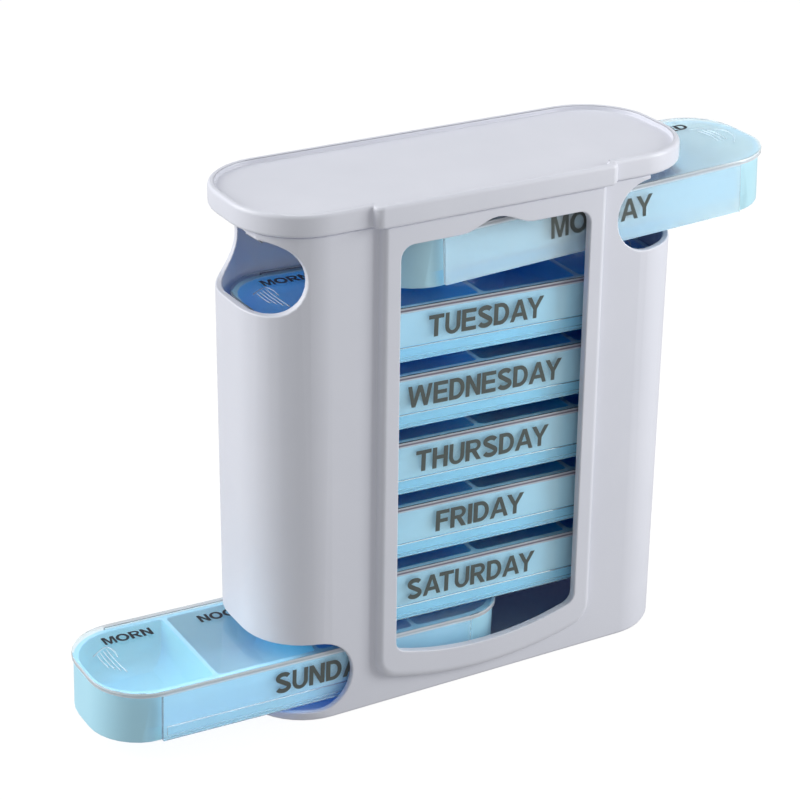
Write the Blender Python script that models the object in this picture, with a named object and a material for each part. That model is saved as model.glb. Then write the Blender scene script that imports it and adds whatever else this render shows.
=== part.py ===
"""Seven-day pill tower: an upright case holding a stack of lidded pill trays.

Length runs along X (the exit slot is at the -X end), the window faces -Y,
and the base stands on Z = 0. All sizes below are in millimetres.
"""
import math

import bmesh
import bpy
from mathutils import Matrix

MM = 0.001

# ---- case -------------------------------------------------------------
HEIGHT = 122.0            # base to the top of the cap's rim
CAP_BAND = 5.1            # height of the cap's outer band
CASE_HALF_LEN = 54.0
CASE_HALF_DEPTH = 18.5
CASE_CORNER_R = 15.0
WALL = 1.5
FLOOR = 0.8
PART_LINE = 0.3           # gap between the case's rim and the cap

BEZEL_HALF_W = 27.8       # flat front panel around the window, at the cap
BEZEL_FLARE = 0.018       # how much wider the panel is at its foot
BEZEL_PROUD = 2.0         # also the radius its edges roll over with
PANEL_X = 0.2             # panel and window sit this far right of the middle
BEZEL_BOTTOM = 5.5        # lowest point of the panel's bowed lower edge
BEZEL_BOW = 5.0           # rise of that edge towards the corners
BEZEL_CORNER_R = 4.0
BEZEL_WALL = 2.0

WINDOW_HALF_W = 23.7      # at its top
WINDOW_FLARE = 0.052      # how much wider the window is at its foot
WINDOW_BOTTOM = 10.3
WINDOW_BOW = 4.2
WINDOW_TOP = 111.9
WINDOW_CORNER_R = 3.0
THUMB_RISE = 2.6          # bump in the window's upper edge
THUMB_HALF_W = 9.0

SLOT_R = 8.75             # exit slot, lower left
SLOT_X = -42.7
SLOT_Z = 11.05
LOAD_R = 8.4              # loading notch, upper right
LOAD_X = 41.0
LOAD_Z = 107.2
FINGER_R = 8.4            # finger notch, upper left
FINGER_X = -52.5
FINGER_Z = 106.8

# ---- cap --------------------------------------------------------------
CAP_OVERHANG = 1.2
CAP_RIM_W = 1.5
CAP_RECESS = 1.2
CAP_PLATE = 1.6
CAP_SKIRT_W = 2.9
CAP_STEP_X = 29.1         # where the cap steps forward over the panel
RIB_HALF_LEN = 24.0
RIB_REACH = 1.8           # how far the locating ribs go down into the case
RIB_T = 1.2

# ---- trays and lids ---------------------------------------------------
TRAY_HALF_LEN = 51.0
LID_HALF_DEPTH = 16.5
LID_END_R = 12.7
TRAY_END_R = 12.4
TRAY_RIM = 11.25
TRAY_BOTTOM = -0.7        # underside, a little below the lid's skirts
TRAY_FLOOR = 0.6          # floor of the compartments
TRAY_END_WALL = 1.1
TRAY_SIDE = 15.1          # half depth of the tray, clear of the lid's skirts
TRAY_SIDE_WALL = 1.1
DIVIDER_X = (-25.2, 0.0, 25.2)
DIVIDER_T = 1.0
SCOOP_R = 4.0             # rolled corner between a compartment's wall and floor
POCKET_CORNER_R = 1.0     # upright corners of a compartment at the dividers
REBATE_TOP = 3.1          # the tray's sides step in below this height
REBATE_DEPTH = 0.6
FOOT_R = 6.0
FOOT_BOTTOM = -1.3

LID_BOTTOM = 11.4
LID_TOP = 12.5
SKIRT_T = 1.1
SKIRT_HALF_LEN = 39.0
SKIRT_BOTTOM = 0.0
RAIL_Z = (0.6, 2.8)       # inward rail that hooks under the tray's rebate
RAIL_DEPTH = 0.55
RAIL_SETBACK = 1.3        # the rail stops short of the skirt's ends
PAD_R = 7.0
PAD_H = 1.4

# ---- how the trays lie in the case -------------------------------------
PITCH = 16.0
LEAN = 1.7                # degrees, the stack lies lower at its right end
STACK_Z = 2.8             # foot of the lowest lid's skirts at mid length
EXIT_TRAVEL = 40.8        # Sunday's tray is this far out to the left
LOAD_TILT = 2.5           # degrees, Monday's tray is higher at its right end
LOAD_TRAVEL = 28.8        # Monday's tray is this far out to the right
LOAD_Z0 = 99.75           # height its skirts' foot would have at mid case

STACK = ("sunday", "saturday", "friday", "thursday", "wednesday", "tuesday")
CUT = 60.0                # overshoot of the through cutters


# ---- materials ----------------------------------------------------------
def plastic(name, colour, roughness, clear=0.0):
    mat = bpy.data.materials.new(name)
    mat.use_nodes = True
    shader = mat.node_tree.nodes["Principled BSDF"]
    shader.inputs["Base Color"].default_value = (*colour, 1.0)
    shader.inputs["Roughness"].default_value = roughness
    shader.inputs["Transmission Weight"].default_value = clear
    shader.inputs["IOR"].default_value = 1.5
    return mat


# ---- outlines -----------------------------------------------------------
def arc(cx, cy, r, start, end, steps):
    """Points on an arc, both ends included, angles in degrees."""
    out = []
    for i in range(steps + 1):
        a = math.radians(start + (end - start) * i / steps)
        out.append((cx + r * math.cos(a), cy + r * math.sin(a)))
    return out


def rounded(x0, x1, half_y, r_left, r_right, steps_left, steps_right):
    """Rounded rectangle about y = 0 with its own corner radius at each end."""
    pts = arc(x1 - r_right, half_y - r_right, r_right, 0, 90, steps_right)
    pts += arc(x0 + r_left, half_y - r_left, r_left, 90, 180, steps_left)
    pts += arc(x0 + r_left, r_left - half_y, r_left, 180, 270, steps_left)
    pts += arc(x1 - r_right, r_right - half_y, r_right, 270, 360, steps_right)
    return pts


def case_plan(inset, steps=10):
    """Plan of the case's plain body, drawn in by inset."""
    r = CASE_CORNER_R - inset
    a = CASE_HALF_LEN - inset
    return rounded(-a, a, CASE_HALF_DEPTH - inset, r, r, steps, steps)


def stepped_plan(inset, steps=10):
    """Plan with the forward step of the front panel, drawn in by inset."""
    a, b, r = CASE_HALF_LEN - inset, CASE_HALF_DEPTH - inset, CASE_CORNER_R - inset
    step = BEZEL_PROUD
    flat = CAP_STEP_X - inset - step
    pts = arc(a - r, b - r, r, 0, 90, steps)
    pts += arc(r - a, b - r, r, 90, 180, steps)
    pts += arc(r - a, r - b, r, 180, 270, steps)
    pts += arc(PANEL_X - flat, -b, step, 180, 270, 5)
    pts += arc(PANEL_X + flat, -b, step, 270, 360, 5)
    pts += arc(a - r, r - b, r, 270, 360, steps)
    return pts


def panel_outline(half_w, bottom, bow, corner_r, top, steps=14):
    """U shape in X and Z: straight sides, rounded corners, bowed lower edge."""
    edge_x = half_w - corner_r
    sagitta = bow * (edge_x / half_w) ** 2
    big_r = (edge_x ** 2 + sagitta ** 2) / (2 * sagitta)
    half_angle = math.degrees(math.asin(edge_x / big_r))
    bottom_arc = arc(0, bottom + big_r, big_r, 270 - half_angle, 270 + half_angle, steps)
    # each corner arc leaves the bow along its tangent and ends upright
    s, c = math.sin(math.radians(half_angle)), math.cos(math.radians(half_angle))
    cx, cz = bottom_arc[-1][0] - corner_r * s, bottom_arc[-1][1] + corner_r * c
    right = arc(cx, cz, corner_r, 270 + half_angle, 360, 5)
    left = [(-x, z) for x, z in reversed(right)]
    return [(left[0][0], top)] + left + bottom_arc[1:-1] + right + [(right[-1][0], top)]


def flared(outline, foot, top, flare):
    """Outline moved to the panel's middle and widened evenly towards its foot."""
    out = []
    for x, z in outline:
        drop = min(max((top - z) / (top - foot), 0.0), 1.0)
        out.append((PANEL_X + x * (1.0 + flare * drop), z))
    return out


# ---- solids ---------------------------------------------------------------
def loft(name, rings, close=True):
    """Closed solid through rings of equal length, flat at both ends."""
    bm = bmesh.new()
    rows = [[bm.verts.new([c * MM for c in p]) for p in ring] for ring in rings]
    n = len(rows[0])
    for low, high in zip(rows, rows[1:]):
        for i in range(n):
            j = (i + 1) % n
            bm.faces.new((low[i], low[j], high[j], high[i]))
    if close:
        bm.faces.new(list(reversed(rows[0])))
        bm.faces.new(rows[-1])
    bmesh.ops.remove_doubles(bm, verts=bm.verts, dist=0.00001)
    bmesh.ops.recalc_face_normals(bm, faces=bm.faces)
    mesh = bpy.data.meshes.new(name)
    bm.to_mesh(mesh)
    bm.free()
    ob = bpy.data.objects.new(name, mesh)
    bpy.context.scene.collection.objects.link(ob)
    return ob


def upright(name, levels):
    """Solid from plan outlines: levels is a list of (outline, z)."""
    return loft(name, [[(x, y, z) for x, y in pts] for pts, z in levels])


def through(name, outline, y0, y1):
    """Solid from an X-Z outline carried from y0 to y1."""
    return loft(name, [[(x, y, z) for x, z in outline] for y in (y0, y1)])


def block(name, x0, x1, y0, y1, z0, z1):
    plan = [(x0, y0), (x1, y0), (x1, y1), (x0, y1)]
    return upright(name, [(plan, z0), (plan, z1)])


def disc(name, x, y, r, z0, z1, steps=20):
    ring = arc(x, y, r, 0, 360 - 360 / steps, steps - 1)
    return upright(name, [(ring, z0), (ring, z1)])


def combine(ob, tool, operation):
    """Boolean the tool into ob and take the tool away."""
    mod = ob.modifiers.new("shape", "BOOLEAN")
    mod.operation = operation
    mod.solver = "EXACT"
    mod.object = tool
    tool.hide_render = True
    tool.display_type = "WIRE"
    graph = bpy.context.evaluated_depsgraph_get()
    mesh = bpy.data.meshes.new_from_object(ob.evaluated_get(graph))
    ob.modifiers.remove(mod)
    ob.data = mesh
    bpy.data.objects.remove(tool, do_unlink=True)
    return ob


def finish(ob, mat, smooth_deg=32.0):
    """Give a solid its material and smooth its rounded faces."""
    bm = bmesh.new()
    bm.from_mesh(ob.data)
    bmesh.ops.remove_doubles(bm, verts=bm.verts, dist=0.00002)
    bmesh.ops.dissolve_limit(bm, angle_limit=math.radians(0.05),
                             verts=bm.verts, edges=bm.edges)
    limit = math.radians(smooth_deg)
    for face in bm.faces:
        face.smooth = True
    for edge in bm.edges:
        edge.smooth = len(edge.link_faces) == 2 and edge.calc_face_angle(4.0) < limit
    bm.to_mesh(ob.data)
    bm.free()
    ob.data.materials.clear()
    ob.data.materials.append(mat)
    ob.data.name = ob.name
    return ob


# ---- case -------------------------------------------------------------------
def build_case(mat):
    top = HEIGHT - CAP_BAND - PART_LINE
    soft = [(0.9, 0.0), (0.35, 0.25), (0.0, 0.9)]
    case = upright("tower_case", [(case_plan(d), z) for d, z in soft]
                   + [(case_plan(0.0), top)])

    foot_y = -CASE_HALF_DEPTH + 0.03
    profile = [(BEZEL_PROUD, foot_y + 1.2)]
    profile += arc(0.0, foot_y, BEZEL_PROUD, 0, -90, 5)
    rings = []
    for out, y in profile:
        line = panel_outline(BEZEL_HALF_W + out, BEZEL_BOTTOM - out, BEZEL_BOW,
                             BEZEL_CORNER_R + out, top + 5.0)
        line = flared(line, BEZEL_BOTTOM, top, BEZEL_FLARE)
        rings.append([(x, y, z) for x, z in line])
    combine(case, loft("panel", rings), "UNION")
    combine(case, block("trim", -CUT, CUT, -CUT, CUT, top, top + 20), "DIFFERENCE")

    cavity = upright("cavity", [(case_plan(WALL), FLOOR), (case_plan(WALL), top + 5)])
    combine(case, cavity, "DIFFERENCE")
    relief = panel_outline(BEZEL_HALF_W - BEZEL_WALL, BEZEL_BOTTOM + BEZEL_WALL,
                           BEZEL_BOW, BEZEL_CORNER_R - 1.0, top + 5.0)
    relief = flared(relief, BEZEL_BOTTOM, top, BEZEL_FLARE)
    back = -CASE_HALF_DEPTH - BEZEL_PROUD + BEZEL_WALL
    combine(case, through("relief", relief, back, back + 4.0), "DIFFERENCE")
    combine(case, through("window", window_outline(), -CUT, 0.0), "DIFFERENCE")

    for name, x, z, r, side, open_top in (
            ("slot", SLOT_X, SLOT_Z, SLOT_R, -1, False),
            ("load", LOAD_X, LOAD_Z, LOAD_R, 1, True),
            ("finger", FINGER_X, FINGER_Z, FINGER_R, -1, True)):
        combine(case, through(name, notch_outline(x, z, r, side, open_top), -CUT, CUT),
                "DIFFERENCE")
    return finish(case, mat)


def window_outline():
    """Opening in the front panel: bowed below, thumb bump above."""
    lower = panel_outline(WINDOW_HALF_W, WINDOW_BOTTOM, WINDOW_BOW,
                          WINDOW_CORNER_R, WINDOW_TOP)[1:-1]
    w, r, t = WINDOW_HALF_W, WINDOW_CORNER_R, WINDOW_TOP
    right = arc(w - r, t - r, r, 0, 90, 5)
    bump = []
    steps = 12
    for i in range(steps + 1):
        u = 1.0 - 2.0 * i / steps
        bump.append((u * THUMB_HALF_W, t + THUMB_RISE * math.cos(u * math.pi / 2) ** 2))
    left = arc(r - w, t - r, r, 90, 180, 5)
    outline = lower + right + bump + left
    return flared(outline, WINDOW_BOTTOM, WINDOW_TOP, WINDOW_FLARE)


def notch_outline(x, z, r, side, open_top):
    """Notch from a round inner end out through the end of the case."""
    if side < 0:
        inner = arc(x, z, r, 90, -90, 16)
    else:
        inner = arc(x, z, r, 90, 270, 16)
    end = side * (CASE_HALF_LEN + 6.0)
    roof = HEIGHT + 4.0 if open_top else z + r
    start = [(end, roof)]
    if open_top:
        start.append((x + side * 0.01, roof))
    return start + inner + [(end, z - r)]


# ---- cap ----------------------------------------------------------------------
def build_cap(mat):
    low = HEIGHT - CAP_BAND
    o = -CAP_OVERHANG
    outside = [(0.5, low), (0.0, low + 0.5), (0.0, HEIGHT - 1.0),
               (0.25, HEIGHT - 0.35), (0.7, HEIGHT)]
    floor = HEIGHT - CAP_RECESS
    inside = [(CAP_RIM_W - 0.3, HEIGHT), (CAP_RIM_W, HEIGHT - 0.3),
              (CAP_RIM_W + 0.05, floor)]
    levels = [(stepped_plan(o + d), z) for d, z in outside + inside]
    cap = upright("top_cap", levels)
    hollow = [(CAP_SKIRT_W, low - 1.0), (CAP_SKIRT_W, floor - CAP_PLATE)]
    combine(cap, upright("hollow", [(case_plan(o + d), z) for d, z in hollow]),
            "DIFFERENCE")
    y1 = CASE_HALF_DEPTH - WALL - 0.3
    y0 = y1 - RIB_T
    top = floor - CAP_PLATE + 0.4
    for y in (-y1, y0):
        rib = block("rib", -RIB_HALF_LEN, RIB_HALF_LEN, y, y + RIB_T,
                    low - RIB_REACH, top)
        combine(cap, rib, "UNION")
    return finish(cap, mat)


# ---- tray -----------------------------------------------------------------------
def tray_plan(inset, steps=8):
    r = TRAY_END_R - inset
    a = TRAY_HALF_LEN - inset
    return rounded(-a, a, TRAY_SIDE - inset, r, r, steps, steps)


def lid_plan(inset, steps=8):
    r = LID_END_R - inset
    a = TRAY_HALF_LEN - inset
    return rounded(-a, a, LID_HALF_DEPTH - inset, r, r, steps, steps)


def pocket_levels(index):
    """Outlines of one compartment from its scooped floor to above the rim."""
    ends = (-TRAY_HALF_LEN + TRAY_END_WALL,) + DIVIDER_X + (TRAY_HALF_LEN - TRAY_END_WALL,)
    x0 = ends[index] + (DIVIDER_T / 2 if index > 0 else 0.0)
    x1 = ends[index + 1] - (DIVIDER_T / 2 if index < 3 else 0.0)
    half_y = TRAY_SIDE - TRAY_SIDE_WALL
    r_end = TRAY_END_R - TRAY_END_WALL
    r0, n0 = (r_end, 6) if index == 0 else (POCKET_CORNER_R, 2)
    r1, n1 = (r_end, 6) if index == 3 else (POCKET_CORNER_R, 2)
    levels = []
    for a in (90, 60, 30, 0):
        d = SCOOP_R * (1 - math.cos(math.radians(a)))
        z = TRAY_FLOOR + SCOOP_R * (1 - math.sin(math.radians(a)))
        levels.append((d, z))
    levels.append((0.0, TRAY_RIM + 3.0))
    rings = []
    for d, z in levels:
        left, right = max(r0 - d, 0.3), max(r1 - d, 0.3)
        rings.append((rounded(x0 + d, x1 - d, half_y - d, left, right, n0, n1), z))
    return rings


def build_tray(name, mat, pose):
    soft = [(0.5, 0.0), (0.15, 0.15), (0.0, 0.5)]
    tray = upright(name, [(tray_plan(d), TRAY_BOTTOM + z) for d, z in soft]
                   + [(tray_plan(0.0), TRAY_RIM)])
    for side in (-1, 1):
        y0, y1 = sorted((side * (TRAY_SIDE - REBATE_DEPTH), side * (TRAY_SIDE + 2)))
        combine(tray, block("rebate", -CUT, CUT, y0, y1, -2, REBATE_TOP), "DIFFERENCE")
    for index in range(4):
        combine(tray, upright("pocket", pocket_levels(index)), "DIFFERENCE")
    combine(tray, disc("foot", 0, 0, FOOT_R, FOOT_BOTTOM, 0.0), "UNION")
    return place(finish(tray, mat), pose)


# ---- lid ------------------------------------------------------------------------
def build_lid(name, mat, pose):
    soft = [(0.0, LID_BOTTOM), (0.0, LID_TOP - 0.35), (0.12, LID_TOP - 0.1),
            (0.4, LID_TOP)]
    lid = upright(name, [(lid_plan(d), z) for d, z in soft])
    half, skirt = SKIRT_HALF_LEN, LID_HALF_DEPTH - SKIRT_T
    for side in (-1, 1):
        y0, y1 = sorted((side * skirt, side * LID_HALF_DEPTH))
        wall = block("skirt", -half, half, y0, y1, SKIRT_BOTTOM, LID_BOTTOM + 0.5)
        combine(lid, wall, "UNION")
        y0, y1 = sorted((side * (skirt - RAIL_DEPTH), side * (skirt + 0.4)))
        reach = half - RAIL_SETBACK
        combine(lid, block("rail", -reach, reach, y0, y1, *RAIL_Z), "UNION")
    combine(lid, disc("pad", 0, 0, PAD_R, LID_TOP - 0.5, LID_TOP + PAD_H), "UNION")
    return place(finish(lid, mat), pose)


def place(ob, pose):
    """Lay a tray or lid in the case: pose is (x, z, right end up in degrees)."""
    x, z, up = pose
    ob.data.transform(Matrix.Rotation(math.radians(-up), 4, "Y"))
    ob.location = (x * MM, 0.0, z * MM)
    return ob


def along(z0, up, travel):
    """Pose of a tray that has slid by travel along its own leaning line."""
    a = math.radians(up)
    return (travel * math.cos(a), z0 + travel * math.sin(a), up)


def build():
    for ob in list(bpy.data.objects):
        bpy.data.objects.remove(ob, do_unlink=True)

    white = (0.80, 0.81, 0.86)
    build_case(plastic("case_white", white, 0.38))
    build_cap(plastic("cap_white", white, 0.36))
    for level, day in enumerate(STACK):
        travel = -EXIT_TRAVEL if level == 0 else 0.0
        pose = along(STACK_Z + level * PITCH, -LEAN, travel)
        build_tray(day + "_tray", plastic(day + "_blue", (0.36, 0.66, 0.86), 0.3, 0.25), pose)
        build_lid(day + "_lid", plastic(day + "_clear", (0.86, 0.94, 0.98), 0.08, 0.9), pose)
    pose = along(LOAD_Z0, LOAD_TILT, LOAD_TRAVEL)
    build_tray("monday_tray", plastic("monday_blue", (0.36, 0.66, 0.86), 0.3, 0.25), pose)
    build_lid("monday_lid", plastic("monday_clear", (0.86, 0.94, 0.98), 0.08, 0.9), pose)


build()
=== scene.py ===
"""Looks for the seven-day pill tower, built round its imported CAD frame.

Everything is in metres in the CAD frame: length along X, the window faces -Y
and the base stands on Z = 0. MM turns the millimetre sizes below into metres.
"""

import math

import bmesh
import bpy
from mathutils import Matrix, Vector


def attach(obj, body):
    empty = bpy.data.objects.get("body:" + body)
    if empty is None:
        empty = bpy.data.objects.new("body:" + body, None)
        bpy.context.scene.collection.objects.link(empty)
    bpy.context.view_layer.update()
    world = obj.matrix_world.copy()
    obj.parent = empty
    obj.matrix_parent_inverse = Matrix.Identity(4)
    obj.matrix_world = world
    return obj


MM = 0.001

# ---- camera ---------------------------------------------------------------
CAM_AZIMUTH = -29.744     # degrees round the object, 0 looks along +Y
CAM_ELEVATION = 24.845
CAM_ROLL = 0.659
CAM_DISTANCE = 538.2 * MM
CAM_TARGET = Vector((-11.896, 0.0, 65.799)) * MM
CAM_LENS = 107.15         # for a sensor this wide
CAM_SENSOR = 36.0

# ---- light ------------------------------------------------------------------
LAMP_AIM = Vector((0.0, 0.0, 60.0)) * MM
ROOM_LIGHT = 0.36         # strength of the white surroundings as a light

# ---- how the trays lie, as in the CAD --------------------------------------------
PITCH = 16.0
LEAN = 1.7                # degrees, the stack lies lower at its right end
STACK_Z = 2.8
EXIT_TRAVEL = 40.8
LOAD_TILT = 2.5
LOAD_TRAVEL = 28.8
LOAD_Z0 = 99.75
STACK = ("sunday", "saturday", "friday", "thursday", "wednesday", "tuesday")

# ---- lids and trays, in each tray's own leaning frame ------------------------
LID_BOTTOM = 11.4
LID_TOP = 12.5            # upper face of the lid's plate over the tray's underside
END_CORE_X = 38.6         # centres of the tray's rounded ends
END_CORE_Y = 2.7
SKIRT_FACE = -16.5        # outer face of the lid's front skirt
INK = 0.04                # how far the printed words stand off the plastic
NAME_Z = 4.7              # foot of the day names on the skirt
NAME_H = 5.1
TIME_H = 3.1
TIME_Y = 7.6

# ---- where the painted shade and the painted edge light change across a tray or a lid, in its own frame ---
INSIDE_R = (11.5, 12.0)   # from the compartments' painted shade to the wall colour, out from the end centres
INSIDE_TOP = (10.9, 11.2)
EDGE_SHADE_Z = (11.55, 11.70, 12.0, 12.15)   # painted shade: dark line in the middle of the plate's edge
FRONT_EDGE_Y = (6.0, 9.0)               # the painted light and shade of the edge is on the front side only
FOLD_Y = (14.9, 15.2)                   # painted light: a light strip on the back margin of the plate, over the skirt
FOLD_Z = (12.2, 12.4)

# ---- edges ------------------------------------------------------------------
CASE_EDGE = 0.35          # rounding of the case's and the cap's edges
CAP_EDGE = 0.3
EDGE_SEGMENTS = 3
SHARP_ANGLE = 38.0        # edges bent by more than this stay crisp or get rounded
FLAT_ANGLE = 0.5          # faces bent by less than this are joined before rounding
FINE_JOIN = 0.02          # points nearer than this are one point
CASE_JOIN = 0.1

# left end and length of each day name along the skirt
NAMES = {
    "sunday": (-11.8, 25.8),
    "monday": (-12.2, 26.8),
    "tuesday": (-14.6, 29.4),
    "wednesday": (-19.6, 39.8),
    "thursday": (-17.3, 34.7),
    "friday": (-11.9, 23.3),
    "saturday": (-19.1, 34.0),
}
# the body that each day's lid moves with
LID_BODY = {day: day for day in NAMES}
LID_BODY["sunday"] = "sunday_cover"
LID_BODY["monday"] = "monday_cover"

# left end and length of each time word along the lid
TIMES = {
    "MORN": (-42.2, 11.8),
    "NOON": (-18.6, 12.0),
    "EVE": (8.4, 8.6),
    "BED": (32.9, 9.0),
}

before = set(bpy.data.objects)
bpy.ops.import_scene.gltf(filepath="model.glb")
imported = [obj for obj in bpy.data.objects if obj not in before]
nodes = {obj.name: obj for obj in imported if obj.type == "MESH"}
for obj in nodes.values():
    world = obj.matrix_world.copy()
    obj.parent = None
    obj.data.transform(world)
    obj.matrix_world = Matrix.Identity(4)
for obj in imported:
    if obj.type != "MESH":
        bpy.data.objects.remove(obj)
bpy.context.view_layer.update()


# ---- shader helpers -----------------------------------------------------------
class Shader:
    """A node material being wired up."""

    def __init__(self, name):
        self.mat = bpy.data.materials.new(name)
        self.mat.use_nodes = True
        self.tree = self.mat.node_tree
        self.tree.nodes.clear()
        self.out = self.tree.nodes.new("ShaderNodeOutputMaterial")
        self.place = self.tree.nodes.new("ShaderNodeTexCoord").outputs["Object"]

    def node(self, kind, inputs=None, **settings):
        node = self.tree.nodes.new("ShaderNode" + kind)
        for key, value in settings.items():
            setattr(node, key, value)
        for key, value in (inputs or {}).items():
            socket = node.inputs[key]
            if isinstance(value, bpy.types.NodeSocket):
                self.tree.links.new(value, socket)
            else:
                socket.default_value = value
        return node

    def noise(self, scale, detail=3.0, rough=0.5, stretch=None):
        place = self.place
        if stretch:
            place = self.node("Mapping", {"Vector": place, "Scale": stretch}).outputs[0]
        inputs = {"Vector": place, "Scale": scale, "Detail": detail, "Roughness": rough}
        return self.node("TexNoise", inputs).outputs["Fac"]

    def span(self, value, low, high, start=0.3, stop=0.7):
        """Remap a value between start and stop to a range of plain numbers."""
        inputs = {"Value": value, "From Min": start, "From Max": stop,
                  "To Min": low, "To Max": high}
        return self.node("MapRange", inputs).outputs[0]

    def ramp(self, value, low, high, places):
        """Go from one number to another between two places in millimetres."""
        return self.span(value, low, high, places[0] * MM, places[1] * MM)

    def tint(self, value, low, high, start=0.3, stop=0.7):
        """Blend two colours by a noise."""
        mix = self.node("Mix", {"Factor": self.span(value, 0.0, 1.0, start, stop)},
                        data_type="RGBA")
        mix.inputs["A"].default_value = (*low, 1.0)
        mix.inputs["B"].default_value = (*high, 1.0)
        return self.colour_of(mix)

    def bump(self, height, distance, strength=1.0, under=None):
        inputs = {"Height": height, "Distance": distance, "Strength": strength}
        if under:
            inputs["Normal"] = under
        return self.node("Bump", inputs).outputs[0]

    def tray_place(self, pose):
        """Coordinates in a tray's own level frame."""
        x, z, up = pose
        moved = self.node("Mapping", {
            "Vector": self.place,
            "Location": (-x * MM, 0.0, -z * MM),
        }).outputs[0]
        turned = self.node("VectorRotate", {"Vector": moved, "Angle": math.radians(up)},
                           rotation_type="Y_AXIS")
        return turned.outputs[0]

    def colour_of(self, mix):
        """The colour output of a Mix node, which has one output of each kind."""
        return next(k for k in mix.outputs if k.type == "RGBA")

    def constant(self, colour):
        node = self.node("RGB")
        node.outputs[0].default_value = (*colour, 1.0)
        return node.outputs[0]

    def split(self, vector):
        return list(self.node("SeparateXYZ", {"Vector": vector}).outputs)

    def beyond(self, value, limit):
        """How far a coordinate lies outside plus or minus the limit."""
        size = self.node("Math", {0: value}, operation="ABSOLUTE").outputs[0]
        rest = self.node("Math", {0: size, 1: limit}, operation="SUBTRACT").outputs[0]
        return self.node("Math", {0: rest, 1: 0.0}, operation="MAXIMUM").outputs[0]

    def times(self, a, b):
        return self.node("Math", {0: a, 1: b}, operation="MULTIPLY").outputs[0]

    def blend(self, factor, low, high):
        """Blend two colour sockets by a 0-1 socket."""
        mix = self.node("Mix", {"Factor": factor}, data_type="RGBA")
        colours = [k for k in mix.inputs if k.type == "RGBA"]
        self.tree.links.new(low, colours[0])
        self.tree.links.new(high, colours[1])
        return self.colour_of(mix)

    def lit_through(self, body, tint):
        """Finish with a body whose shadow is light tinted by the plastic."""
        path = self.node("LightPath")
        if isinstance(tint, tuple):
            tint = (*tint, 1.0)
        gap = self.node("BsdfTransparent", {"Color": tint})
        mix = self.node("MixShader", {"Fac": path.outputs["Is Shadow Ray"]})
        self.tree.links.new(body.outputs[0], mix.inputs[1])
        self.tree.links.new(gap.outputs[0], mix.inputs[2])
        return self.finish(mix.outputs[0])

    def finish(self, surface):
        self.tree.links.new(surface, self.out.inputs["Surface"])
        return self.mat


def case_plastic(name, seed):
    """Satin white ABS with a faint lavender cast and a fine mould texture."""
    s = Shader(name)
    mottle = s.noise(38.0 + seed, 4.0, 0.6)
    grain = s.noise(5200.0, 2.0)
    ripple = s.noise(60.0 + seed, 1.0, stretch=(1.0, 1.0, 0.25))
    colour = s.tint(mottle, (0.735, 0.75, 0.825), (0.765, 0.778, 0.85))
    normal = s.bump(grain, 0.00001, 0.5)
    normal = s.bump(ripple, 0.00008, 0.35, normal)
    body = s.node("BsdfPrincipled", {
        "Base Color": colour,
        "Roughness": s.span(mottle, 0.34, 0.44),
        "IOR": 1.5,
        "Normal": normal,
    })
    return s.lit_through(body, (0.14, 0.12, 0.18))


def tray_plastic(name, seed, pose, open_end):
    """Light blue polypropylene that lets some blue light through its walls.

    Compartments inside the tower get painted shade, a deeper blue than the rest,
    standing for light that has passed through the plastic. A tray that sticks out
    has an open end: its lit compartment colours, its lit wall colours, and the two
    places along it between which the painted shade deepens."""
    s = Shader(name)
    local = s.tray_place(pose)
    along, across, height = s.split(local)
    past_x = s.beyond(along, END_CORE_X * MM)
    past_y = s.beyond(across, END_CORE_Y * MM)
    out = s.node("CombineXYZ", {"X": past_x, "Y": past_y}).outputs[0]
    out = s.node("VectorMath", {0: out}, operation="LENGTH").outputs["Value"]
    # mask of the compartments, where the painted shade goes
    inside = s.ramp(out, 1.0, 0.0, INSIDE_R)
    inside = s.times(inside, s.ramp(height, 1.0, 0.0, INSIDE_TOP))
    flow = s.noise(70.0 + seed, 3.0, 0.55, stretch=(0.35, 1.0, 1.0))
    grain = s.noise(4200.0, 2.0)
    # a tray that sticks out: lit copies of the colours outside the tower, painted shade inside it
    if open_end:
        lit_compartment, shell, places = open_end
        shell = s.tint(flow, *shell)
        compartment_shade = s.tint(flow, (0.12, 0.56, 0.88), (0.15, 0.59, 0.90))
        tower_shade = s.ramp(along, 0.0, 1.0, places)
        compartment_shade = s.blend(tower_shade, s.tint(flow, *lit_compartment), compartment_shade)
    else:
        # a tray in the tower: a shaded copy of the wall colour, and painted shade of deep blue in
        # the compartments
        shell = s.tint(flow, (0.50, 0.76, 0.86), (0.54, 0.78, 0.88))
        compartment_shade = s.tint(flow, (0.01, 0.62, 0.97), (0.02, 0.66, 0.98))
    colour = s.blend(inside, shell, compartment_shade)
    normal = s.bump(grain, 0.00001, 0.4)
    normal = s.bump(flow, 0.00010, 0.25, normal)
    body = s.node("BsdfPrincipled", {
        "Base Color": colour,
        "Roughness": s.span(flow, 0.30, 0.40),
        "IOR": 1.49,
        "Normal": normal,
    })
    return s.lit_through(body, (0.02, 0.60, 0.97))


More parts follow.
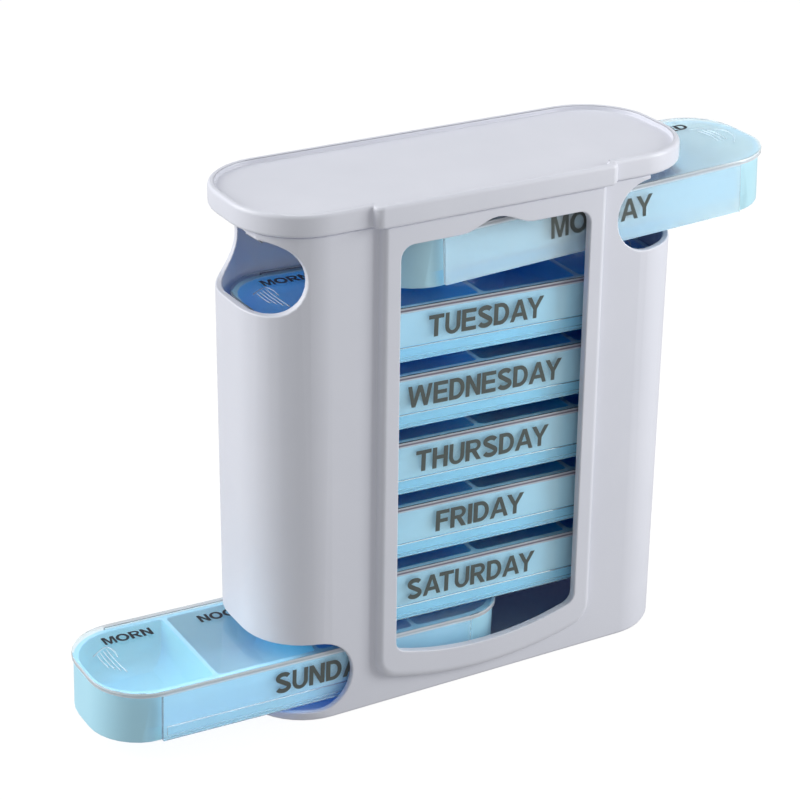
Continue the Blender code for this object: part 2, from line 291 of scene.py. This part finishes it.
def clear_plastic(name, seed, pose, haze, edge_highlight, edge_shade_line):
    """Clear styrene with painted highlight lines and a painted dark line on its plate edge,
    hairline scuffs and a faint haze, which is stronger on lids out in the light as painted light.
    """
    s = Shader(name)
    across, height = s.split(s.tray_place(pose))[1:]
    facing = s.node("SeparateXYZ", {
        "Vector": s.node("NewGeometry").outputs["True Normal"]}).outputs["Z"]
    upright = s.node("Math", {0: facing}, operation="ABSOLUTE").outputs[0]
    upright = s.span(upright, 1.0, 0.0, 0.55, 0.75)
    plate = s.ramp(height, 0.0, 1.0, (LID_BOTTOM - 0.15, LID_BOTTOM - 0.05))
    # painted light and shade on the upright plate edge, front side only, and a painted light
    # strip on the back margin
    edge = s.times(upright, plate)
    edge = s.times(edge, s.ramp(across, 1.0, 0.0, FRONT_EDGE_Y))
    back_strip_light = s.times(s.ramp(across, 0.0, 1.0, FOLD_Y), s.ramp(height, 0.0, 1.0, FOLD_Z))
    edge = s.node("Math", {0: edge, 1: back_strip_light}, operation="ADD").outputs[0]
    scuffs = s.noise(420.0 + seed, 5.0, 0.7, stretch=(0.15, 1.0, 1.0))
    waves = s.noise(45.0 + seed, 2.0)
    clear = s.tint(waves, (0.86, 0.96, 1.0), (0.88, 0.97, 1.0))
    dark_line_mask = s.ramp(height, 0.0, 1.0, EDGE_SHADE_Z[:2])
    dark_line_mask = s.times(dark_line_mask, s.ramp(height, 1.0, 0.0, EDGE_SHADE_Z[2:]))
    # painted highlight lines on the edge, with a painted dark line between them
    edge_light_and_shade = s.blend(dark_line_mask, s.tint(waves, *edge_highlight), s.tint(waves, *edge_shade_line))
    body = s.node("BsdfPrincipled", {
        "Base Color": s.blend(edge, clear, edge_light_and_shade),
        "Roughness": s.span(scuffs, 0.015, 0.07, 0.45, 0.75),
        "IOR": 1.45,
        # less clear on lids out in the light, as painted light, and on the painted edge
        "Transmission Weight": s.span(edge, 1.0 - haze, 0.30, 0.0, 1.0),
        "Normal": s.bump(waves, 0.00003, 0.15),
    })
    flat_tint = s.constant((0.50, 0.66, 0.74))
    side_tint = s.constant((0.42, 0.53, 0.62))
    return s.lit_through(body, s.blend(upright, flat_tint, side_tint))


def ink(name, colour):
    """Pad-printed ink, slightly uneven in tone and sheen."""
    s = Shader(name)
    patch = s.noise(900.0, 4.0, 0.65)
    dark = tuple(0.8 * c for c in colour)
    body = s.node("BsdfPrincipled", {
        "Base Color": s.tint(patch, dark, colour),
        "Roughness": s.span(patch, 0.45, 0.6),
        "Normal": s.bump(patch, 0.00003, 0.4),
    })
    return s.finish(body.outputs[0])


# ---- edges and shading of the CAD nodes --------------------------------------------
def smooth_group():
    """Geometry nodes that join the frame's loose triangles and shade them smooth."""
    group = bpy.data.node_groups.new("join_and_smooth", "GeometryNodeTree")
    group.interface.new_socket("Geometry", in_out="INPUT", socket_type="NodeSocketGeometry")
    near = group.interface.new_socket("Distance", in_out="INPUT",
                                      socket_type="NodeSocketFloat")
    near.default_value = FINE_JOIN * MM
    group.interface.new_socket("Geometry", in_out="OUTPUT", socket_type="NodeSocketGeometry")
    start = group.nodes.new("NodeGroupInput")
    merge = group.nodes.new("GeometryNodeMergeByDistance")
    faces = group.nodes.new("GeometryNodeSetShadeSmooth")
    edges = group.nodes.new("GeometryNodeSetShadeSmooth")
    edges.domain = "EDGE"
    bend_angle = group.nodes.new("GeometryNodeInputMeshEdgeAngle")
    gentle = group.nodes.new("FunctionNodeCompare")
    gentle.data_type = "FLOAT"
    gentle.operation = "LESS_THAN"
    gentle.inputs[1].default_value = math.radians(SHARP_ANGLE)
    group.links.new(bend_angle.outputs["Unsigned Angle"], gentle.inputs[0])
    group.links.new(gentle.outputs[0], edges.inputs["Shade Smooth"])
    end = group.nodes.new("NodeGroupOutput")
    group.links.new(start.outputs["Geometry"], merge.inputs["Geometry"])
    group.links.new(start.outputs["Distance"], merge.inputs["Distance"])
    group.links.new(merge.outputs["Geometry"], faces.inputs["Geometry"])
    group.links.new(faces.outputs["Geometry"], edges.inputs["Geometry"])
    group.links.new(edges.outputs["Geometry"], end.inputs["Geometry"])
    return group


JOIN_AND_SMOOTH = smooth_group()


def join_triangles(ob, join):
    """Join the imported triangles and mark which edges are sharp."""
    tidy = ob.modifiers.new("join", "NODES")
    tidy.node_group = JOIN_AND_SMOOTH
    for item in JOIN_AND_SMOOTH.interface.items_tree:
        if item.name == "Distance":
            tidy[item.identifier] = join


def weigh_normals(ob, keep_sharp):
    weigh = ob.modifiers.new("shading", "WEIGHTED_NORMAL")
    weigh.keep_sharp = keep_sharp
    weigh.weight = 60


def crisp(ob):
    """Smooth the rounded faces of a CAD node and keep its corners sharp."""
    join_triangles(ob, FINE_JOIN * MM)
    weigh_normals(ob, True)


def soften(ob, width):
    """Round the sharp edges of a CAD node by modifiers, leaving its own mesh alone."""
    join_triangles(ob, CASE_JOIN * MM)
    flat = ob.modifiers.new("flats", "DECIMATE")
    flat.decimate_type = "DISSOLVE"
    flat.angle_limit = math.radians(FLAT_ANGLE)
    edge = ob.modifiers.new("edges", "BEVEL")
    edge.width = width * MM
    edge.segments = EDGE_SEGMENTS
    edge.limit_method = "ANGLE"
    edge.angle_limit = math.radians(SHARP_ANGLE)
    edge.use_clamp_overlap = False
    edge.miter_outer = "MITER_ARC"
    weigh_normals(ob, False)


def wear(node, material):
    """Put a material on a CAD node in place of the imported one."""
    ob = nodes[node]
    ob.data.materials.clear()
    ob.data.materials.append(material)
    return ob


# ---- lettering ------------------------------------------------------------------
STEM = 0.225              # stroke of an upright, in cap heights
BAR = 0.18                # stroke of a level bar
LETTER_GAP = 0.08
KERN = 0.17               # how far AY and AT close up


def oval(cx, cy, rx, ry, start, end, steps=14):
    """Points on part of an oval, both ends included, angles in degrees."""
    out = []
    for i in range(steps + 1):
        a = math.radians(start + (end - start) * i / steps)
        out.append((cx + rx * math.cos(a), cy + ry * math.sin(a)))
    return out


def ribbon(path, width):
    """Outline of a stroke of constant width along a path."""
    left, right = [], []
    for i, (x, y) in enumerate(path):
        x0, y0 = path[max(i - 1, 0)]
        x1, y1 = path[min(i + 1, len(path) - 1)]
        length = math.hypot(x1 - x0, y1 - y0)
        nx, ny = (y0 - y1) / length * width / 2, (x1 - x0) / length * width / 2
        left.append((x + nx, y + ny))
        right.append((x - nx, y - ny))
    return left + right[::-1]


def glyph(letter):
    """Closed outlines of a bold capital, one cap height tall, and its width."""
    t, b = STEM, BAR
    if letter == "I":
        return [[(0, 0), (t, 0), (t, 1), (0, 1)]], t
    if letter == "E":
        return [[(0, 0), (0.78, 0), (0.78, b), (t, b), (t, 0.42), (0.72, 0.42),
                 (0.72, 0.42 + b), (t, 0.42 + b), (t, 1 - b), (0.76, 1 - b),
                 (0.76, 1), (0, 1)]], 0.78
    if letter == "F":
        return [[(0, 0), (t, 0), (t, 0.4), (0.63, 0.4), (0.63, 0.4 + b),
                 (t, 0.4 + b), (t, 1 - b), (0.7, 1 - b), (0.7, 1), (0, 1)]], 0.7
    if letter == "H":
        return [[(0, 0), (t, 0), (t, 0.42), (0.81 - t, 0.42), (0.81 - t, 0), (0.81, 0),
                 (0.81, 1), (0.81 - t, 1), (0.81 - t, 0.42 + b), (t, 0.42 + b),
                 (t, 1), (0, 1)]], 0.81
    if letter == "T":
        return [[(0.4 - t / 2, 0), (0.4 + t / 2, 0), (0.4 + t / 2, 1 - b), (0.8, 1 - b),
                 (0.8, 1), (0, 1), (0, 1 - b), (0.4 - t / 2, 1 - b)]], 0.8
    if letter == "N":
        return [[(0, 0), (0.21, 0), (0.21, 0.64), (0.59, 0), (0.8, 0), (0.8, 1),
                 (0.59, 1), (0.59, 0.36), (0.21, 1), (0, 1)]], 0.8
    if letter == "M":
        return [[(0, 0), (0.18, 0), (0.18, 0.74), (0.4, 0), (0.56, 0), (0.78, 0.74),
                 (0.78, 0), (0.96, 0), (0.96, 1), (0.68, 1), (0.48, 0.3), (0.28, 1),
                 (0, 1)]], 0.96
    if letter == "V":
        return [[(0.355, 0), (0.575, 0), (0.93, 1), (0.71, 1), (0.465, 0.25),
                 (0.22, 1), (0, 1)]], 0.93
    if letter == "W":
        return [[(0.23, 0), (0.43, 0), (0.655, 0.7), (0.88, 0), (1.08, 0), (1.31, 1),
                 (1.1, 1), (0.975, 0.34), (0.76, 1), (0.55, 1), (0.335, 0.34),
                 (0.21, 1), (0, 1)]], 1.31
    if letter == "Y":
        return [[(0.365, 0), (0.565, 0), (0.565, 0.42), (0.93, 1), (0.695, 1),
                 (0.465, 0.6), (0.235, 1), (0, 1), (0.365, 0.42)]], 0.93
    if letter == "A":
        return [[(0, 0), (0.215, 0), (0.295, 0.22), (0.685, 0.22), (0.765, 0),
                 (0.98, 0), (0.6, 1), (0.38, 1)],
                [(0.355, 0.385), (0.625, 0.385), (0.49, 0.77)]], 0.98
    if letter == "O":
        return [oval(0.5, 0.5, 0.5, 0.515, 0, 350, 28),
                oval(0.5, 0.5, 0.27, 0.325, 0, 350, 28)], 1.0
    if letter == "D":
        return [[(0, 1), (0, 0)] + oval(0.37, 0.5, 0.45, 0.5, -90, 90),
                [(t, 1 - b), (t, b)] + oval(0.35, 0.5, 0.265, 0.5 - b, -90, 90)], 0.82
    if letter == "U":
        return [[(0, 1)] + oval(0.4, 0.38, 0.4, 0.395, 180, 360) + [(0.8, 1), (0.6, 1)]
                + oval(0.4, 0.38, 0.2, 0.225, 360, 180) + [(0.2, 1)]], 0.8
    if letter == "B":
        return [[(0, 1), (0, 0)] + oval(0.47, 0.29, 0.34, 0.29, -90, 62)
                + oval(0.45, 0.755, 0.31, 0.245, -50, 90),
                [(t, 0.45), (t, 0.16)] + oval(0.47, 0.305, 0.14, 0.145, -90, 90, 8),
                [(t, 0.85), (t, 0.6)] + oval(0.45, 0.725, 0.12, 0.125, -90, 90, 8)], 0.81
    if letter == "R":
        return [[(0, 1), (0, 0), (t, 0), (t, 0.41), (0.33, 0.41), (0.6, 0), (0.85, 0),
                 (0.58, 0.43)] + oval(0.49, 0.715, 0.31, 0.285, -55, 90),
                [(t, 0.84), (t, 0.57)] + oval(0.48, 0.705, 0.13, 0.135, -90, 90, 8)], 0.85
    upper = oval(0.4, 0.745, 0.285, 0.17, 20, 235)
    lower = oval(0.4, 0.265, 0.3, 0.18, 55, -160)
    return [ribbon(upper + lower, 0.215)], 0.8


def word_mesh(text, left, length, height):
    """A word as thin raised letters in the X-Y plane, reading along +X."""
    spans, x = [], 0.0
    for letter in text:
        loops, width = glyph(letter)
        if spans and text[len(spans) - 1] + letter in ("AY", "AT"):
            x -= KERN
        spans.append((loops, x))
        x += width + LETTER_GAP
    total = x - LETTER_GAP
    curve = bpy.data.curves.new(text, "CURVE")
    curve.dimensions = "2D"
    curve.fill_mode = "BOTH"
    curve.extrude = INK * MM
    for loops, start in spans:
        for loop in loops:
            spline = curve.splines.new("POLY")
            spline.points.add(len(loop) - 1)
            spline.use_cyclic_u = True
            for point, (px, py) in zip(spline.points, loop):
                u = left + (px + start) / total * length
                point.co = (u * MM, py * height * MM, 0.0, 1.0)
    holder = bpy.data.objects.new(text, curve)
    bpy.context.scene.collection.objects.link(holder)
    graph = bpy.context.evaluated_depsgraph_get()
    mesh = bpy.data.meshes.new_from_object(holder.evaluated_get(graph))
    bpy.data.objects.remove(holder, do_unlink=True)
    bpy.data.curves.remove(curve)
    return mesh


# ---- where each tray lies ---------------------------------------------------------
def tray_pose(day):
    """Middle x and z of a tray's underside, and how far its right end is up."""
    if day == "monday":
        up, travel, z0 = LOAD_TILT, LOAD_TRAVEL, LOAD_Z0
    else:
        level = STACK.index(day)
        up, travel, z0 = -LEAN, -EXIT_TRAVEL if level == 0 else 0.0, STACK_Z + level * PITCH
    a = math.radians(up)
    return travel * math.cos(a), z0 + travel * math.sin(a), up


def tray_matrix(day):
    x, z, up = tray_pose(day)
    turn = Matrix.Rotation(math.radians(-up), 4, "Y")
    return Matrix.Translation((x * MM, 0.0, z * MM)) @ turn


def piece(name, parts, day, material):
    """Object from (mesh, placing matrix in the tray's frame) pairs, riding the lid."""
    bm = bmesh.new()
    for mesh, spot in parts:
        mesh.transform(tray_matrix(day) @ spot)
        bm.from_mesh(mesh)
        bpy.data.meshes.remove(mesh)
    bmesh.ops.remove_doubles(bm, verts=bm.verts, dist=0.0002 * MM)
    bmesh.ops.recalc_face_normals(bm, faces=bm.faces)
    mesh = bpy.data.meshes.new(name)
    bm.to_mesh(mesh)
    bm.free()
    mesh.materials.append(material)
    ob = bpy.data.objects.new(name, mesh)
    bpy.context.scene.collection.objects.link(ob)
    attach(ob, LID_BODY[day])
    return ob


def print_day(day, name_ink, time_ink):
    left, length = NAMES[day]
    stand = Matrix.Translation((0, SKIRT_FACE * MM, NAME_Z * MM))
    stand = stand @ Matrix.Rotation(math.radians(90), 4, "X")
    name = word_mesh(day.upper(), left, length, NAME_H)
    piece(day + "_name", [(name, stand)], day, name_ink)
    words = []
    for text, (left, length) in TIMES.items():
        spot = Matrix.Translation((0, TIME_Y * MM, LID_TOP * MM))
        words.append((word_mesh(text, left, length, TIME_H), spot))
    piece(day + "_time_words", words, day, time_ink)


# ---- thumb ridges on the lids ------------------------------------------------------
RIDGE_W = 0.36
RIDGE_H = 0.22
RIDGE_SINK = 0.03         # how far a ridge's foot reaches into the plate
RIDGE_TIP = 0.35          # size of a ridge's ends, where 1 is its full section
RIDGE_SIDES = 8


def ridge_mesh(path):
    """Rounded ridge of plastic standing on the X-Y plane along a path."""
    bm = bmesh.new()
    rows = []
    for i, (x, y) in enumerate(path):
        x0, y0 = path[max(i - 1, 0)]
        x1, y1 = path[min(i + 1, len(path) - 1)]
        length = math.hypot(x1 - x0, y1 - y0)
        nx, ny = (y0 - y1) / length, (x1 - x0) / length
        end = RIDGE_TIP if i in (0, len(path) - 1) else 1.0
        row = []
        for k in range(RIDGE_SIDES + 1):
            a = math.pi * k / RIDGE_SIDES
            out = math.cos(a) * RIDGE_W / 2 * end
            up = math.sin(a) * RIDGE_H * end - RIDGE_SINK
            row.append(bm.verts.new(((x + nx * out) * MM, (y + ny * out) * MM, up * MM)))
        rows.append(row)
    for low, high in zip(rows, rows[1:]):
        for k in range(RIDGE_SIDES):
            bm.faces.new((low[k], low[k + 1], high[k + 1], high[k]))
        bm.faces.new((low[0], high[0], high[-1], low[-1]))
    bm.faces.new(rows[0])
    bm.faces.new(rows[-1][::-1])
    for face in bm.faces:
        face.smooth = len(face.verts) == 4
    mesh = bpy.data.meshes.new("ridge")
    bm.to_mesh(mesh)
    bm.free()
    return mesh


def bend(points, steps=5):
    """Smooth path through a few points."""
    out = []
    last = len(points) - 1
    for i in range(last):
        p0, p1 = points[max(i - 1, 0)], points[i]
        p2, p3 = points[i + 1], points[min(i + 2, last)]
        for k in range(steps):
            t = k / steps
            out.append(tuple(0.5 * (2 * b + (c - a) * t + (2 * a - 5 * b + 4 * c - d) * t * t
                                    + (3 * b - a - 3 * c + d) * t ** 3)
                             for a, b, c, d in zip(p0, p1, p2, p3)))
    out.append(points[-1])
    return out


def thumb_ridges(day, material):
    """Arrow-shaped grip at the left end and a curved one at the right end."""
    paths = [bend([(-46.8, 4.0), (-45.0, 5.5), (-42.5, 6.8), (-41.6, 4.6), (-41.9, 1.4)])]
    for i in range(4):
        x = -45.6 + 0.95 * i
        paths.append(bend([(x, 4.6 + 0.45 * i), (x - 0.1, 1.0), (x + 0.15, -1.9 - 1.2 * i)]))
    paths.append(bend([(41.0, 6.6), (44.6, 5.6), (47.5, 2.0), (47.4, -2.0), (44.6, -6.0)]))
    for i in range(3):
        x = 44.9 - 1.1 * i
        paths.append(bend([(x - 0.4, 4.2 + 0.4 * i), (x + 0.2, 0.5), (x - 0.4, -3.4)]))
    spot = Matrix.Translation((0, 0, LID_TOP * MM))
    piece(day + "_thumb_ridges", [(ridge_mesh(p), spot) for p in paths], day, material)


# ---- camera, lights and floor -------------------------------------------------------
def look_from(azimuth, elevation, roll):
    """Camera axes as a rotation: right, up and backwards."""
    a, e, r = (math.radians(v) for v in (azimuth, elevation, roll))
    back = Vector((math.sin(a) * math.cos(e), -math.cos(a) * math.cos(e), math.sin(e)))
    right = Vector((0, 0, 1)).cross(back).normalized()
    up = back.cross(right)
    right, up = (right * math.cos(r) + up * math.sin(r),
                 up * math.cos(r) - right * math.sin(r))
    return back, Matrix((right, up, back)).transposed()


def make_camera():
    back, turn = look_from(CAM_AZIMUTH, CAM_ELEVATION, CAM_ROLL)
    data = bpy.data.cameras.new("camera")
    data.lens = CAM_LENS
    data.sensor_width = CAM_SENSOR
    data.clip_start, data.clip_end = 0.01, 50.0
    cam = bpy.data.objects.new("camera", data)
    cam.matrix_world = Matrix.Translation(CAM_TARGET + back * CAM_DISTANCE) @ turn.to_4x4()
    bpy.context.scene.collection.objects.link(cam)
    bpy.context.scene.camera = cam


def softbox(name, bearing, height, distance, size, power):
    """Area lamp aimed at the middle of the object; bearing is counted from +X."""
    a, e = math.radians(bearing), math.radians(height)
    away = Vector((math.cos(a) * math.cos(e), math.sin(a) * math.cos(e), math.sin(e)))
    data = bpy.data.lights.new(name, "AREA")
    data.shape = "RECTANGLE"
    data.size, data.size_y = size
    data.energy = power
    lamp = bpy.data.objects.new(name, data)
    lamp.location = LAMP_AIM + away * distance
    lamp.rotation_mode = "QUATERNION"
    lamp.rotation_quaternion = away.to_track_quat("Z", "Y")
    bpy.context.scene.collection.objects.link(lamp)


def bright_to_camera(tree, dim, bright):
    """Strength that is bright for the camera and through glass, dim as a light."""
    path = tree.nodes.new("ShaderNodeLightPath")
    seen = tree.nodes.new("ShaderNodeMath")
    seen.operation = "MAXIMUM"
    tree.links.new(path.outputs["Is Camera Ray"], seen.inputs[0])
    tree.links.new(path.outputs["Is Transmission Ray"], seen.inputs[1])
    span = tree.nodes.new("ShaderNodeMapRange")
    span.inputs["To Min"].default_value = dim
    span.inputs["To Max"].default_value = bright
    tree.links.new(seen.outputs[0], span.inputs["Value"])
    return span.outputs[0]


def make_world():
    world = bpy.data.worlds.new("studio")
    bpy.context.scene.world = world
    world.use_nodes = True
    tree = world.node_tree
    back = tree.nodes["Background"]
    back.inputs["Color"].default_value = (0.97, 0.985, 1.0, 1.0)
    tree.links.new(bright_to_camera(tree, ROOM_LIGHT, 1.0), back.inputs["Strength"])


def make_floor():
    """Pale seamless sheet, lit so that it stays white to the camera."""
    bm = bmesh.new()
    bmesh.ops.create_circle(bm, cap_ends=True, segments=64, radius=12.0)
    mesh = bpy.data.meshes.new("floor")
    bm.to_mesh(mesh)
    bm.free()
    floor = bpy.data.objects.new("floor", mesh)
    bpy.context.scene.collection.objects.link(floor)
    s = Shader("floor_sheet")
    glow = s.node("Emission", {"Color": (1.0, 1.0, 1.0, 1.0)})
    glare = bright_to_camera(s.tree, ROOM_LIGHT, 0.94)
    s.tree.links.new(glare, glow.inputs["Strength"])
    sheet = s.node("BsdfDiffuse", {"Color": (0.10, 0.10, 0.10, 1.0)})
    both = s.node("AddShader")
    s.tree.links.new(glow.outputs[0], both.inputs[0])
    s.tree.links.new(sheet.outputs[0], both.inputs[1])
    floor.data.materials.append(s.finish(both.outputs[0]))


def make_studio():
    view = bpy.context.scene.view_settings
    view.view_transform = "Standard"
    view.look = "None"
    make_camera()
    make_world()
    make_floor()
    softbox("left_box", 152, 28, 0.9, (0.6, 0.6), 6.3)
    softbox("right_box", 325, 18, 0.42, (0.18, 0.26), 1.15)
    softbox("top_box", 60, 80, 1.0, (0.7, 0.5), 1.9)


# ---- build ------------------------------------------------------------------------
# lit copies of the compartment and wall colours, and where along the tray it goes into the tower
# and the painted shade deepens
OPEN_ENDS = {
    "sunday": (((0.38, 0.78, 0.82), (0.42, 0.80, 0.85)),
               ((0.47, 0.83, 1.0), (0.50, 0.85, 1.0)), (-12.0, 8.0)),
    "monday": (((0.82, 0.88, 0.80), (0.86, 0.90, 0.82)),
               ((0.48, 0.77, 0.87), (0.51, 0.79, 0.89)), (30.0, 16.0)),
}
# painted plate edge of a lid out in the light and of one inside the tower: painted highlight
# lines, painted dark middle line
LIT_EDGE = (((0.84, 0.88, 0.92), (0.90, 0.93, 0.96)), ((0.60, 0.64, 0.68), (0.70, 0.73, 0.76)))
SHADED_EDGE = (((0.62, 0.66, 0.72), (0.70, 0.74, 0.80)), ((0.22, 0.19, 0.24), (0.28, 0.25, 0.30)))
# how cloudy each lid is, part of it painted light: the lids out in the light get more diffuse
# white than any other
LIT_LID_HAZE = {"sunday": 0.12, "monday": 0.28}
SHADED_HAZE = 0.04


def build():
    make_studio()
    wear("tower_case", case_plastic("case_plastic", 0))
    wear("top_cap", case_plastic("cap_plastic", 7))
    soften(nodes["tower_case"], CASE_EDGE)
    soften(nodes["top_cap"], CAP_EDGE)
    name_ink = ink("olive_ink", (0.098, 0.118, 0.108))
    time_ink = ink("black_ink", (0.02, 0.022, 0.03))
    for i, day in enumerate(NAMES):
        blue = tray_plastic(day + "_blue", i, tray_pose(day), OPEN_ENDS.get(day))
        wear(day + "_tray", blue)
        crisp(nodes[day + "_tray"])
        edge = LIT_EDGE if day in OPEN_ENDS else SHADED_EDGE
        haze = LIT_LID_HAZE.get(day, SHADED_HAZE)
        clear = clear_plastic(day + "_clear", i, tray_pose(day), haze, *edge)
        wear(day + "_lid", clear)
        crisp(nodes[day + "_lid"])
        print_day(day, name_ink, time_ink)
        thumb_ridges(day, clear)


build()
